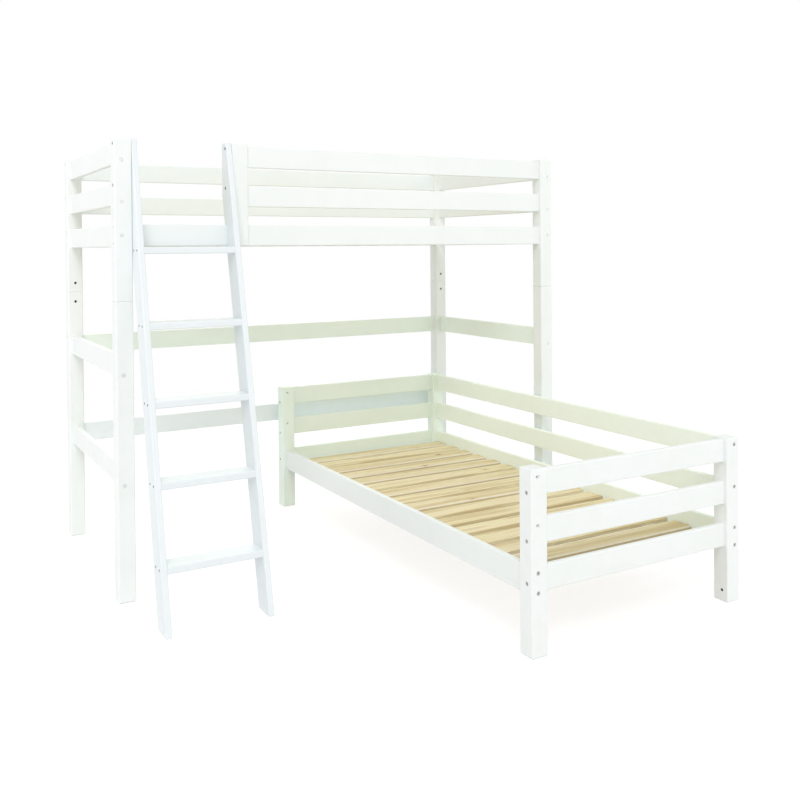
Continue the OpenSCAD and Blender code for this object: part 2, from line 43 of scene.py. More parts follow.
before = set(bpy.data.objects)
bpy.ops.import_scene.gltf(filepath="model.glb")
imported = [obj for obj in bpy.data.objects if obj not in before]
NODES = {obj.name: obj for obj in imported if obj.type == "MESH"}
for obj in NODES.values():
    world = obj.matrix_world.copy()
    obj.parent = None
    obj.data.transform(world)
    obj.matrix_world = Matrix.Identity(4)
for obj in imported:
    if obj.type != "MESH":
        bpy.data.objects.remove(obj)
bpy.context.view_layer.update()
BODY = "root"
AXES = range(3)


# ------------------------------------ settings

SLAT_COUNT = 16


class BUNK_PG_paint(bpy.types.PropertyGroup):
    """White paint on the posts, boards and ladder."""

    white: FloatVectorProperty(
        name="White Paint", description="Paint of the loft bed and of the low bed's foot",
        default=(0.847, 0.888, 0.882), subtype="COLOR", min=0.0, max=1.0,
    )
    # Painted light: a brighter, bluer white that undoes the warm light bounced onto these boards
    # from the pine slats and lifts their shade
    cool: FloatVectorProperty(
        name="Cool Paint",
        description="Paint of the boards at the back of the loft bed, a little bluer",
        default=(0.872, 0.937, 0.955), subtype="COLOR", min=0.0, max=1.0,
    )
    # Painted shade: a greener white standing in for the greenish shade these parts sit in
    green: FloatVectorProperty(
        name="Green Paint",
        description="Paint of the low bed's head and the stretchers behind it, a little greener",
        default=(0.86, 0.955, 0.885), subtype="COLOR", min=0.0, max=1.0,
    )
    # Painted light: a brighter, greener white standing in for more light on the guard boards' inner
    # faces than the lamps give
    guards: FloatVectorProperty(
        name="Guard Paint",
        description="Paint of the low bed's guard boards and the rail below them, greener still",
        default=(0.92, 0.995, 0.915), subtype="COLOR", min=0.0, max=1.0,
    )
    ladder: FloatVectorProperty(
        name="Ladder Paint", description="Paint of the ladder, a little cooler than the beds",
        default=(0.79, 0.843, 0.868), subtype="COLOR", min=0.0, max=1.0,
    )
    roughness: FloatProperty(
        name="Roughness", description="How matt the dry paint is",
        default=0.42, subtype="FACTOR", min=0.0, max=1.0,
    )
    grain_depth: FloatProperty(
        name="Grain Depth", description="How deep the timber's grain shows through the paint",
        default=0.00025, min=0.0, max=0.002, unit="LENGTH",
    )


class BUNK_PG_pine(bpy.types.PropertyGroup):
    """Bare pine of the slats."""

    early: FloatVectorProperty(
        name="Early Wood", description="Pale wood between the year rings",
        default=(0.786, 0.732, 0.490), subtype="COLOR", min=0.0, max=1.0,
    )
    late: FloatVectorProperty(
        name="Late Wood", description="Darker lines of the year rings",
        default=(0.60, 0.468, 0.24), subtype="COLOR", min=0.0, max=1.0,
    )
    knot: FloatVectorProperty(
        name="Knots", description="Heart of the knots",
        default=(0.23, 0.11, 0.045), subtype="COLOR", min=0.0, max=1.0,
    )
    roughness: FloatProperty(
        name="Roughness", description="How matt the planed wood is",
        default=0.58, subtype="FACTOR", min=0.0, max=1.0,
    )


class BUNK_PG_slats(bpy.types.PropertyGroup):
    """Rows of slats on both beds."""

    low_count: IntProperty(
        name="Low Bed Slats", description="Slats on the low bed",
        default=SLAT_COUNT, min=2, max=30,
    )
    loft_count: IntProperty(
        name="Loft Bed Slats", description="Slats on the loft bed",
        default=SLAT_COUNT, min=2, max=30,
    )
    width: FloatProperty(
        name="Width", description="Width of a slat",
        default=0.09, min=0.04, max=0.14, unit="LENGTH",
    )
    edge: FloatProperty(
        name="Edge", description="Rounding of a slat's long edges",
        default=0.003, min=0.0005, max=0.006, unit="LENGTH",
    )


class BUNK_PG_fixings(bpy.types.PropertyGroup):
    """Bolts and screws."""

    bolt_head: FloatProperty(
        name="Bolt Head", description="Diameter of a bolt's head",
        default=0.013, min=0.008, max=0.02, unit="LENGTH",
    )
    bolt_shank: FloatProperty(
        name="Bolt Shank", description="Diameter of a bolt's shank",
        default=0.006, min=0.004, max=0.01, unit="LENGTH",
    )
    screw_head: FloatProperty(
        name="Screw Head", description="Diameter of a screw's head",
        default=0.009, min=0.005, max=0.012, unit="LENGTH",
    )
    screw_shank: FloatProperty(
        name="Screw Shank", description="Diameter of a screw's shank",
        default=0.0045, min=0.002, max=0.006, unit="LENGTH",
    )
    colour: FloatVectorProperty(
        name="Steel", description="Zinc plated steel that has gone dull",
        default=(0.45, 0.45, 0.455), subtype="COLOR", min=0.0, max=1.0,
    )
    # Painted shine: a paler steel laid on the loft bed's fixings, standing in for the brighter light
    # they catch
    fresh: FloatVectorProperty(
        name="Steel With Painted Shine",
        description="Zinc plated steel that is still bright, as on the loft bed's bolts",
        default=(0.80, 0.81, 0.81), subtype="COLOR", min=0.0, max=1.0,
    )


class BUNK_PG_stage(bpy.types.PropertyGroup):
    """Floor, lamps and camera."""

    floor: FloatVectorProperty(
        name="Floor", description="Colour of the floor",
        default=(0.86, 0.86, 0.86), subtype="COLOR", min=0.0, max=1.0,
    )
    fill: FloatProperty(
        name="Room Light", description="Strength of the light from all round",
        default=0.56, min=0.0, max=3.0,
    )
    power: FloatProperty(
        name="Lamp Power",
        description="Power of a lamp whose share is 1, which all the lamps follow",
        default=123.5, min=0.0, max=3000.0, unit="POWER",
    )
    lens: FloatProperty(
        name="Lens", description="Focal length of the camera",
        default=41.04, min=10.0, max=200.0, subtype="DISTANCE_CAMERA",
    )


# ------------------------------------ node helpers

FLOAT, VECTOR = "NodeSocketFloat", "NodeSocketVector"
INTEGER, THING, MATERIAL = "NodeSocketInt", "NodeSocketObject", "NodeSocketMaterial"


class Web:
    """Short names for building a node tree."""

    def __init__(self, tree):
        self.tree = tree

    def add(self, kind, **settings):
        """A new node with its settings."""
        node = self.tree.nodes.new(kind)
        for name, value in settings.items():
            setattr(node, name, value)
        return node

    def put(self, node, **values):
        """Sets a node's inputs, each from a value or from another node's output.

        _0 is the input at index 0, and Base_Color the one named Base Color.
        """
        for name, value in values.items():
            socket = node.inputs[int(name[1:]) if name[0] == "_" else name.replace("_", " ")]
            if isinstance(value, bpy.types.NodeSocket):
                self.tree.links.new(value, socket)
            else:
                socket.default_value = value
        return node

    def made(self, kind, **values):
        """A new node with its inputs set."""
        return self.put(self.add(kind), **values)

    def out(self, kind, **values):
        """The first output of a new node with its inputs set."""
        return self.made(kind, **values).outputs[0]

    def worked(self, kind, operation, values):
        """A maths node with its inputs set in order."""
        return self.put(self.add(kind, operation=operation), **dict(zip(("_0", "_1", "_2"), values)))

    def math(self, operation, *values):
        return self.worked("ShaderNodeMath", operation, values).outputs[0]

    def times(self, a, b):
        return self.math("MULTIPLY", a, b)

    def plus(self, a, b):
        return self.math("ADD", a, b)

    def minus(self, a, b):
        return self.math("SUBTRACT", a, b)

    def total(self, *shares):
        """The sum of values, each times its share."""
        whole, *others = (self.times(value, share) for value, share in shares)
        for other in others:
            whole = self.plus(whole, other)
        return whole

    def vector(self, operation, *values):
        return self.worked("ShaderNodeVectorMath", operation, values).outputs[0]

    def scaled(self, a, factors):
        """A vector with each of its parts times its own factor."""
        return self.vector("MULTIPLY", a, factors)

    def stretched(self, a, factor):
        """A vector times one number."""
        return self.put(self.vector("SCALE", a).node, Scale=factor).outputs[0]

    def length(self, a):
        return self.worked("ShaderNodeVectorMath", "LENGTH", [a]).outputs["Value"]

    def split(self, a):
        """A vector's parts, by the names X, Y and Z."""
        return self.made("ShaderNodeSeparateXYZ", Vector=a).outputs

    def combined(self, x=0.0, y=0.0, z=0.0):
        return self.out("ShaderNodeCombineXYZ", X=x, Y=y, Z=z)

    def where(self):
        """Object coordinates."""
        return self.add("ShaderNodeTexCoord").outputs["Object"]

    def attribute(self, name, output):
        """What a mesh carries under a name."""
        node = self.add("ShaderNodeAttribute", attribute_type="GEOMETRY", attribute_name=name)
        return node.outputs[output]

    def noise(self, at, scale, detail=3.0, rough=0.5):
        node = self.add("ShaderNodeTexNoise", noise_dimensions="3D")
        self.put(node, Vector=at, Scale=scale, Detail=detail, Roughness=rough)
        return node.outputs["Fac"]

    def streaks(self, at, along, across, detail, rough):
        """Noise with its own scales along the grain and across it."""
        return self.noise(self.scaled(at, (along, across, across)), 1.0, detail, rough)

    def ramp(self, value, low, high, to_low=0.0, to_high=1.0):
        """A smooth step from to_low, where value is low, to to_high, where it is high."""
        node = self.add("ShaderNodeMapRange", interpolation_type="SMOOTHSTEP")
        return self.put(node, _0=value, _1=low, _2=high, _3=to_low, _4=to_high).outputs[0]

    def mix(self, amount, a, b):
        node = self.add("ShaderNodeMix", data_type="RGBA")
        return self.put(node, _0=amount, _6=a, _7=b).outputs[2]

    def layered(self, base, *layers):
        """A colour with others laid over it in turn, each by its own amount."""
        for amount, over in layers:
            base = self.mix(amount, base, over)
        return base

    def bump(self, height, strength, depth):
        """The normal of a surface with that relief."""
        return self.out("ShaderNodeBump", Height=height, Strength=strength, Distance=depth)


def new_inputs(tree, inputs):
    """Named inputs of a tree, each with its kind and its default if it has one."""
    for label, kind, value in inputs:
        socket = tree.interface.new_socket(name=label, in_out="INPUT", socket_type=kind)
        if value is not None:
            socket.default_value = value


def group(name, inputs, outputs):
    """A shader node group with named inputs and float outputs: its web and its two ends."""
    tree = bpy.data.node_groups.new(name, "ShaderNodeTree")
    new_inputs(tree, inputs)
    for label in outputs:
        tree.interface.new_socket(name=label, in_out="OUTPUT", socket_type=FLOAT)
    web = Web(tree)
    return web, web.add("NodeGroupInput"), web.add("NodeGroupOutput")


def shared(name, build):
    """A node tree by its name, built the first time."""
    return bpy.data.node_groups.get(name) or build(name)


def placed(web, name, build, **values):
    """The outputs of a shared effect placed in a material with its own values."""
    node = web.add("ShaderNodeGroup")
    node.node_tree = shared(name, build)
    return web.put(node, **values).outputs


def opaque(colour, factors=(1.0, 1.0, 1.0)):
    """A colour with its channels multiplied, as a socket takes it."""
    return tuple(min(1.0, c * f) for c, f in zip(colour, factors)) + (1.0,)


# ------------------------------------ shared effects


def timber_grain(name):
    """Year rings, fine fibres and knots. Vector runs along the grain in X, in metres."""
    web, start, end = group(
        name,
        [
            ("Vector", VECTOR, None), ("Piece", FLOAT, 0.0),
            ("Ring Spacing", FLOAT, 0.006), ("Knots", FLOAT, 1.0),
        ],
        ["Rings", "Fibres", "Bands", "Knots", "Halo"],
    )
    piece, spacing = start.outputs["Piece"], start.outputs["Ring Spacing"]
    apart = web.combined(*(web.times(piece, step) for step in (37.0, 11.0, 5.0)))
    own = web.vector("ADD", start.outputs["Vector"], apart)

    # Knots are cells of a pattern that is long with the grain, so many to a metre each way
    along, across, squeeze = 2.1, 7.5, 0.75
    spots = web.scaled(own, (along, across, 0.0))
    cells = web.add("ShaderNodeTexVoronoi", voronoi_dimensions="2D", feature="F1")
    web.put(cells, Vector=spots, Scale=1.0, Randomness=1.0)
    chance = web.made("ShaderNodeSeparateColor", Color=cells.outputs["Color"]).outputs
    wanted = web.times(web.math("GREATER_THAN", chance[0], 0.52), start.outputs["Knots"])
    away = web.vector("SUBTRACT", spots, cells.outputs["Position"])
    away = web.length(web.scaled(away, (squeeze / along, 1.0 / across, 0.0)))
    ragged = web.times(web.noise(own, 130.0, 2.0), 0.004)
    radius = web.math("MULTIPLY_ADD", chance[1], 0.006, 0.0045)
    near = web.minus(web.plus(away, ragged), radius)
    knot = web.times(web.ramp(near, 0.003, -0.001), wanted)
    halo = web.times(web.ramp(near, 0.024, 0.0), wanted)

    # Rings: distance across the grain, bent by slow noise and pushed aside by the knots
    bend = web.times(web.minus(web.streaks(own, 1.3, 9.0, 2.0, 0.45), 0.5), 0.11)
    shake = web.times(web.minus(web.streaks(own, 5.0, 40.0, 3.0, 0.55), 0.5), 0.006)
    push = web.times(halo, 0.012)
    parts = web.split(own)
    place = web.plus(parts["Y"], web.times(parts["Z"], 0.6))
    place = web.plus(web.plus(place, bend), web.plus(shake, push))
    turn = web.math("FRACT", web.math("DIVIDE", place, spacing))
    rings = web.times(web.ramp(turn, 0.25, 0.86), web.ramp(turn, 1.0, 0.90))

    fine = web.streaks(own, 14.0, 900.0, 2.0, 0.6)
    coarse = web.streaks(own, 3.0, 160.0, 3.0, 0.6)
    fibres = web.total((fine, 0.55), (coarse, 0.45))
    bands = web.ramp(web.streaks(own, 1.7, 38.0, 2.0, 0.5), 0.36, 0.66)
    web.put(end, Rings=rings, Fibres=fibres, Bands=bands, Knots=knot, Halo=halo)
    return web.tree


def paint_film(name):
    """A sprayed and sanded film of paint: its height, its tone and its sheen."""
    web, start, end = group(
        name,
        [("Vector", VECTOR, None), ("Rings", FLOAT, 0.0), ("Fibres", FLOAT, 0.5)],
        ["Height", "Tone", "Sheen"],
    )
    at, rings, fibres = (start.outputs[label] for label in ("Vector", "Rings", "Fibres"))
    peel = web.noise(web.scaled(at, (0.7, 1.0, 1.0)), 420.0, 2.0, 0.5)
    cloud = web.noise(at, 3.1, 3.0, 0.5)
    patch = web.noise(at, 17.0, 3.0, 0.55)
    web.put(
        end,
        Height=web.total((fibres, 0.7), (rings, 0.45), (peel, 0.35)),
        Tone=web.total((cloud, 0.6), (patch, 0.4)),
        Sheen=web.total((patch, 0.6), (peel, 0.4)),
    )
    return web.tree


def worn_touch(name):
    """Faint soft smudges of handling."""
    web, start, end = group(name, [("Vector", VECTOR, None), ("Size", FLOAT, 1.0)], ["Smudge"])
    at = web.stretched(start.outputs["Vector"], start.outputs["Size"])
    web.put(end, Smudge=web.ramp(web.noise(at, 6.0, 4.0, 0.6), 0.56, 0.78))
    return web.tree


# ------------------------------------ materials

# The ladder's lean, and the turns that bring a grain onto X
LEAN = math.radians(13.2)
GRAIN_TURN = {"x": (0.0, 0.0, 0.0), "y": (0.0, 0.0, -math.pi / 2), "z": (0.0, math.pi / 2, 0.0)}

# Near black inside the foot posts' blind bores: painted shade, standing in for the dark deep in a
# hole
PAINTED_BORE_SHADE = (0.05, 0.035, 0.02, 1.0)
# Pale top edges on some slats: a painted highlight
PAINTED_EDGE_HIGHLIGHT = (0.93, 0.89, 0.76, 1.0)
DOWEL_RINGS = 0.004


def start_material(name):
    """A new material, its web and its Principled shader."""
    material = bpy.data.materials.new(name)
    material.use_nodes = True
    tree = material.node_tree
    tree.nodes.clear()
    web = Web(tree)
    shader = web.add("ShaderNodeBsdfPrincipled")
    web.made("ShaderNodeOutputMaterial", Surface=shader.outputs[0])
    return material, web, shader


def grain_place(web, way):
    """Object coordinates turned so that X runs along the piece's grain.

    way is the grain's axis, or stile for the leaning stiles of the ladder.
    """
    at = web.where()
    if way == "stile":
        at = web.out("ShaderNodeMapping", Vector=at, Rotation=(LEAN, 0.0, 0.0))
        way = "z"
    return web.out("ShaderNodeMapping", Vector=at, Rotation=GRAIN_TURN[way])


def bore_mask(web, bore):
    """1 inside a blind bore along X, given as its middle, the half of its reach and its radius."""
    middle, reach, radius = bore
    off = web.vector("SUBTRACT", web.where(), tuple(middle))
    across = web.length(web.scaled(off, (0.0, 1.0, 1.0)))
    along = web.math("ABSOLUTE", web.split(off)["X"])
    return web.times(web.math("LESS_THAN", across, radius), web.math("LESS_THAN", along, reach))


def painted(name, way, colour, bore=None):
    """White paint over softwood whose grain runs along the piece.

    Inside a bore the colour is near black: painted shade for the dark deep in the hole, darker than
    its bare wood.
    """
    settings = bpy.context.scene.bunk_paint
    material, web, shader = start_material(name)
    at = grain_place(web, way)
    grain = placed(web, "Timber grain", timber_grain, Vector=at, Ring_Spacing=0.009, Knots=0.6)
    film = placed(
        web, "Paint film", paint_film, Vector=at, Rings=grain["Rings"], Fibres=grain["Fibres"]
    )
    smudge = placed(web, "Worn touch", worn_touch, Vector=at, Size=1.0)["Smudge"]
    shade = opaque(colour, (0.955, 0.962, 0.945))
    warm = opaque(colour, (0.95, 0.925, 0.85))
    cover = web.layered(
        opaque(colour),
        (web.times(web.ramp(film["Tone"], 0.35, 0.68), 0.55), shade),
        (web.times(grain["Rings"], 0.10), shade),
        (web.times(grain["Halo"], 0.16), warm),
        (web.times(smudge, 0.10), shade),
    )
    # Painted shade: the inside of the bore is made near black
    if bore:
        cover = web.mix(bore_mask(web, bore), cover, PAINTED_BORE_SHADE)
    rough = web.math("MULTIPLY_ADD", film["Sheen"], 0.16, settings.roughness - 0.08)
    rough = web.plus(rough, web.times(smudge, 0.06))
    relief = web.bump(film["Height"], 0.35, settings.grain_depth)
    web.put(shader, Base_Color=cover, Roughness=rough, Normal=relief, IOR=1.46)
    return material


def bare_wood(name, at_piece, spacing=0.0075, slat=None):
    """Planed softwood. at_piece gives the grain's place and the piece's own number.

    slat is the width and thickness of a slat, whose sides get painted shade and some of whose top
    edges get a painted highlight.
    """
    settings = bpy.context.scene.bunk_pine
    material, web, shader = start_material(name)
    at, piece = at_piece(web)
    grain = placed(
        web, "Timber grain", timber_grain, Vector=at, Piece=piece, Ring_Spacing=spacing, Knots=1.0
    )
    smudge = placed(web, "Worn touch", worn_touch, Vector=at, Size=1.7)["Smudge"]
    sun = opaque(settings.early, (1.16, 1.15, 1.14))
    dull = opaque(settings.early, (0.93, 0.86, 0.74))
    blush = opaque(settings.early, (1.14, 1.12, 1.24))
    amber = opaque(settings.late, (0.92, 0.80, 0.62))
    late = opaque(settings.late)
    lot = web.math("FRACT", web.times(piece, 7.31))
    body = web.layered(
        web.mix(lot, sun, dull),
        (web.ramp(grain["Fibres"], 0.3, 0.7, 0.0, 0.35), opaque(settings.early)),
        (web.ramp(grain["Bands"], 0.5, 1.0, 0.0, 0.75), late),
        (web.ramp(grain["Bands"], 0.5, 0.0, 0.0, 0.60), blush),
        (web.times(grain["Rings"], 0.70), late),
        (web.times(grain["Halo"], 0.45), amber),
        (web.times(grain["Knots"], 0.88), opaque(settings.knot)),
        (web.times(smudge, 0.12), dull),
    )
    if slat:
        body = web.layered(body, *slat_layers(web, at, piece, lot, *slat))
    rough = web.math("MULTIPLY_ADD", grain["Fibres"], 0.18, settings.roughness - 0.09)
    rough = web.minus(rough, web.times(grain["Knots"], 0.12))
    tall = web.plus(grain["Fibres"], web.times(grain["Rings"], 0.5))
    relief = web.bump(tall, 0.4, 0.0004)
    web.put(shader, Base_Color=body, Roughness=rough, Normal=relief, IOR=1.5)
    return material


def slat_layers(web, at, piece, lot, width, thickness):
    """Layers for a slat's sides, darker with painted shade of the gaps over the saw-cut wood's own
    darker tone, and for some slats' top edges, paler with a painted highlight.
    """
    parts = web.split(at)
    blend = 0.0012
    side_end = thickness / 2 - blend
    strength = web.ramp(web.math("FRACT", web.times(piece, 13.7)), 0.1, 0.8, 0.10, 0.62)
    # Painted shade: the slat's sides are darkened for the shade in the gaps between slats, over the
    # saw-cut wood's own darker tone
    side = web.ramp(web.math("ABSOLUTE", parts["Z"]), side_end, side_end - blend)
    # Painted highlight: a paler band along the top of a slat's long edges, on some slats
    edge = web.ramp(web.math("ABSOLUTE", parts["Y"]), width / 2 - 0.0045, width / 2 - 0.002)
    edge = web.times(edge, web.ramp(parts["Z"], 0.001, 0.004))
    edge = web.times(edge, web.math("GREATER_THAN", lot, 0.45))
    # Colour of the darker sides: painted shade of the gaps over the saw-cut wood's own tone
    sawn_and_gap_shade = opaque(bpy.context.scene.bunk_pine.late, (0.70, 0.70, 0.70))
    return (web.times(side, strength), sawn_and_gap_shade), (web.times(edge, 0.8), PAINTED_EDGE_HIGHLIGHT)


def slat_place(web):
    """The grain's place and the slat's number, as the slats carry them."""
    return web.attribute("grain", "Vector"), web.attribute("piece", "Fac")


def still_place(way):
    """The grain's place on a part of the frame, and a number that drifts slowly over it."""

    def place(web):
        at = grain_place(web, way)
        return at, web.times(web.noise(at, 0.9, 0.0), 0.6)

    return place


def plated_steel(name, colour, fresh):
    """Steel with a fine cast and rubbed spots, paler where a fixing is marked for it: a painted
    shine, standing in for brighter reflections.
    """
    material, web, shader = start_material(name)
    spots = web.noise(web.where(), 900.0, 3.0, 0.6)
    drift = web.noise(web.where(), 60.0, 2.0, 0.5)
    # Painted shine on the loft bed's fixings
    new = web.times(web.attribute("fresh", "Fac"), web.ramp(drift, 0.0, 1.0, 0.82, 1.0))
    mixed = web.layered(
        opaque(colour, (0.62, 0.62, 0.62)),
        (web.ramp(spots, 0.35, 0.68), opaque(colour, (1.35, 1.35, 1.35))),
        (web.times(drift, 0.4), opaque(colour)),
        (new, opaque(fresh)),
    )
    rough = web.ramp(spots, 0.2, 0.8, 0.30, 0.46)
    relief = web.bump(spots, 0.25, 0.0001)
    web.put(shader, Base_Color=mixed, Roughness=rough, Metallic=1.0, Normal=relief)
    return material


# ------------------------------------ meshes

RING_POINTS = 24
BOLT_HEAD_HEIGHT = 0.0039
SCREW_HEAD_HEIGHT = 0.003


def ring(reach, height, shift=0.0):
    """Points round a head at a height, each as far out as reach gives for its angle."""
    points = []
    for i in range(RING_POINTS):
        angle = math.tau * (i + shift) / RING_POINTS
        radius = reach(angle)
        points.append((radius * math.cos(angle), radius * math.sin(angle), height))
    return points


def round_ring(radius, height):
    """A ring of points on a circle."""
    return ring(lambda angle: radius, height)


def hexagon_ring(flats, height):
    """A ring of points round a hexagon, measured across its flats."""

    def reach(angle):
        return flats / 2 / math.cos((angle + math.pi / 6) % (math.pi / 3) - math.pi / 6)

    return ring(reach, height)


def cross_ring(arm, half, height):
    """A ring of points round a plus shape with arms of that length and half width."""

    def reach(angle):
        c, s = abs(math.cos(angle)), abs(math.sin(angle))
        return max(min(arm / c, half / s), min(half / c, arm / s))

    return ring(reach, height, 0.5)


def skin(name, rings):
    """A closed mesh through rings of equal counts, with a cap on its first and last."""
    shape = bmesh.new()
    loops = [[shape.verts.new(point) for point in points] for points in rings]
    for lower, upper in zip(loops, loops[1:]):
        for i in range(RING_POINTS):
            j = (i + 1) % RING_POINTS
            shape.faces.new((lower[i], lower[j], upper[j], upper[i]))
    shape.faces.new(list(reversed(loops[0])))
    shape.faces.new(loops[-1])
    bmesh.ops.recalc_face_normals(shape, faces=shape.faces)
    mesh = bpy.data.meshes.new(name)
    shape.to_mesh(mesh)
    shape.free()
    return mesh


def bolt_head(diameter):
    """Cylinder head with an eased rim and a hexagon socket, its top at the origin."""
    r = diameter / 2
    return skin(
        "bolt head shape",
        [
            round_ring(r * 0.94, -0.0040),
            round_ring(r, -0.0036),
            round_ring(r, -0.0008),
            round_ring(r * 0.93, -0.0001),
            round_ring(r * 0.86, 0.0),
            hexagon_ring(0.0046, 0.0),
            hexagon_ring(0.0042, -0.0003),
            hexagon_ring(0.0042, -0.0025),
            round_ring(0.0010, -0.0029),
        ],
    )


def screw_head(diameter):
    """Countersunk head with a cross recess, its top at the origin."""
    r = diameter / 2
    return skin(
        "screw head shape",
        [
            round_ring(r * 0.5, -0.0031),
            round_ring(r * 0.97, -0.0003),
            round_ring(r * 0.97, 0.0),
            cross_ring(r * 0.56, r * 0.14, 0.0),
            cross_ring(r * 0.34, r * 0.11, -0.0016),
        ],
    )


def islands(shape):
    """The corners of each separate solid of a mesh."""
    left = set(shape.verts)
    while left:
        stack, island = [left.pop()], []
        while stack:
            vert = stack.pop()
            island.append(vert.co.copy())
            for edge in vert.link_edges:
                other = edge.other_vert(vert)
                if other in left:
                    left.remove(other)
                    stack.append(other)
        yield island


def off_axis(point, middle, axis):
    """Distance of a point from the line along an axis through the middle."""
    out = point - middle
    out[axis] = 0.0
    return out.length


def longest(size):
    """The axis along which a size is largest."""
    return max(AXES, key=lambda k: size[k])


def fixing_places(node, shank_reach):
    """Each fixing in a part of the frame as its head's middle, the way it faces and its length.

    What lies farther than shank_reach from a fixing's axis belongs to its head.
    """
    shape = bmesh.new()
    shape.from_mesh(NODES[node].data)
    bmesh.ops.remove_doubles(shape, verts=shape.verts, dist=1e-6)
    places = []
    for island in islands(shape):
        low = Vector([min(p[k] for p in island) for k in AXES])
        high = Vector([max(p[k] for p in island) for k in AXES])
        middle, size = (low + high) / 2, high - low
        axis = longest(size)
        rim = [p[axis] for p in island if off_axis(p, middle, axis) > shank_reach]
        up = sum(rim) / len(rim) > middle[axis]
        facing = Vector((0.0, 0.0, 0.0))
        facing[axis] = 1.0 if up else -1.0
        top = middle.copy()
        top[axis] = high[axis] if up else low[axis]
        places.append((top, facing, size[axis]))
    shape.free()
    places.sort(key=lambda place: tuple(round(v, 5) for v in place[0]))
    return places


# ------------------------------------ geometry trees

SLAT_RINGS = 13
EDGE_FACETS = 3
SHANK_SIDES = 12


def geometry_tree(name, inputs):
    """A geometry tree with named inputs: its web, what its inputs give, and its end."""
    tree = bpy.data.node_groups.new(name, "GeometryNodeTree")
    tree.is_modifier = True
    new_inputs(tree, [("Geometry", "NodeSocketGeometry", None), *inputs])
    tree.interface.new_socket(name="Geometry", in_out="OUTPUT", socket_type="NodeSocketGeometry")
    web = Web(tree)
    return web, web.add("NodeGroupInput").outputs, web.add("NodeGroupOutput")


def end_tree(web, end, geometry, material):
    """Ends a geometry tree with real meshes in one material."""
    real = web.out("GeometryNodeRealizeInstances", Geometry=geometry)
    web.put(end, Geometry=web.out("GeometryNodeSetMaterial", Geometry=real, Material=material))
    return web.tree


def named(web, geometry, name, value, domain, kind):
    """Geometry that carries a value under a name."""
    node = web.add("GeometryNodeStoreNamedAttribute", domain=domain, data_type=kind)
    return web.put(node, Geometry=geometry, Name=name, Value=value).outputs[0]


def carried(web, name, kind):
    """What points carry under a name."""
    node = web.add("GeometryNodeInputNamedAttribute", data_type=kind)
    return web.put(node, Name=name).outputs[0]


def random_number(web, high, seed):
    """A random number from 0 to high for each point or instance."""
    node = web.add("FunctionNodeRandomValue", data_type="FLOAT")
    return web.put(node, _2=0.0, _3=high, Seed=seed).outputs[1]


def slat_row_tree(name):
    """A row of planed slats with eased edges, each with its own number and a little play."""
    web, given, end = geometry_tree(
        name,
        [
            ("Count", INTEGER, 16),
            ("Length", FLOAT, 0.9),
            ("Width", FLOAT, 0.09),
            ("Thickness", FLOAT, 0.016),
            ("Edge", FLOAT, 0.003),
            ("First", VECTOR, None),
            ("Step", VECTOR, None),
            ("Turn", FLOAT, 0.0),
            ("Play", FLOAT, 0.0006),
            ("Seed", INTEGER, 3),
            ("Material", MATERIAL, None),
        ],
    )
    half = web.math("DIVIDE", given["Length"], 2.0)
    left, right = (web.combined(web.times(half, way)) for way in (-1.0, 1.0))
    path = web.out("GeometryNodeCurvePrimitiveLine", Start=left, End=right)
    path = web.out("GeometryNodeResampleCurve", Curve=path, Count=SLAT_RINGS)
    outline = web.add("GeometryNodeCurvePrimitiveQuadrilateral", mode="RECTANGLE")
    web.put(outline, Width=given["Width"], Height=given["Thickness"])
    eased = web.add("GeometryNodeFilletCurve", mode="POLY")
    web.put(eased, Curve=outline.outputs[0], Radius=given["Edge"], Count=EDGE_FACETS)
    board = web.out(
        "GeometryNodeCurveToMesh", Curve=path, Profile_Curve=eased.outputs[0], Fill_Caps=True
    )
    grain = web.out("GeometryNodeInputPosition")
    board = named(web, board, "grain", grain, "POINT", "FLOAT_VECTOR")

    row = web.add("GeometryNodeMeshLine", mode="OFFSET", count_mode="TOTAL")
    web.put(row, Count=given["Count"], Start_Location=given["First"], Offset=given["Step"])
    most = web.combined(given["Play"], given["Play"])
    play = web.add("FunctionNodeRandomValue", data_type="FLOAT_VECTOR")
    web.put(play, Min=web.scaled(most, (-1.0, -1.0, 0.0)), Max=most, Seed=given["Seed"])
    loose = web.out("GeometryNodeSetPosition", Geometry=row.outputs[0], Offset=play.outputs[0])
    facing = web.out("FunctionNodeEulerToRotation", Euler=web.combined(z=given["Turn"]))
    laid = web.out("GeometryNodeInstanceOnPoints", Points=loose, Instance=board, Rotation=facing)
    number = random_number(web, 1.0, given["Seed"])
    laid = named(web, laid, "piece", number, "INSTANCE", "FLOAT")
    return end_tree(web, end, laid, given["Material"])


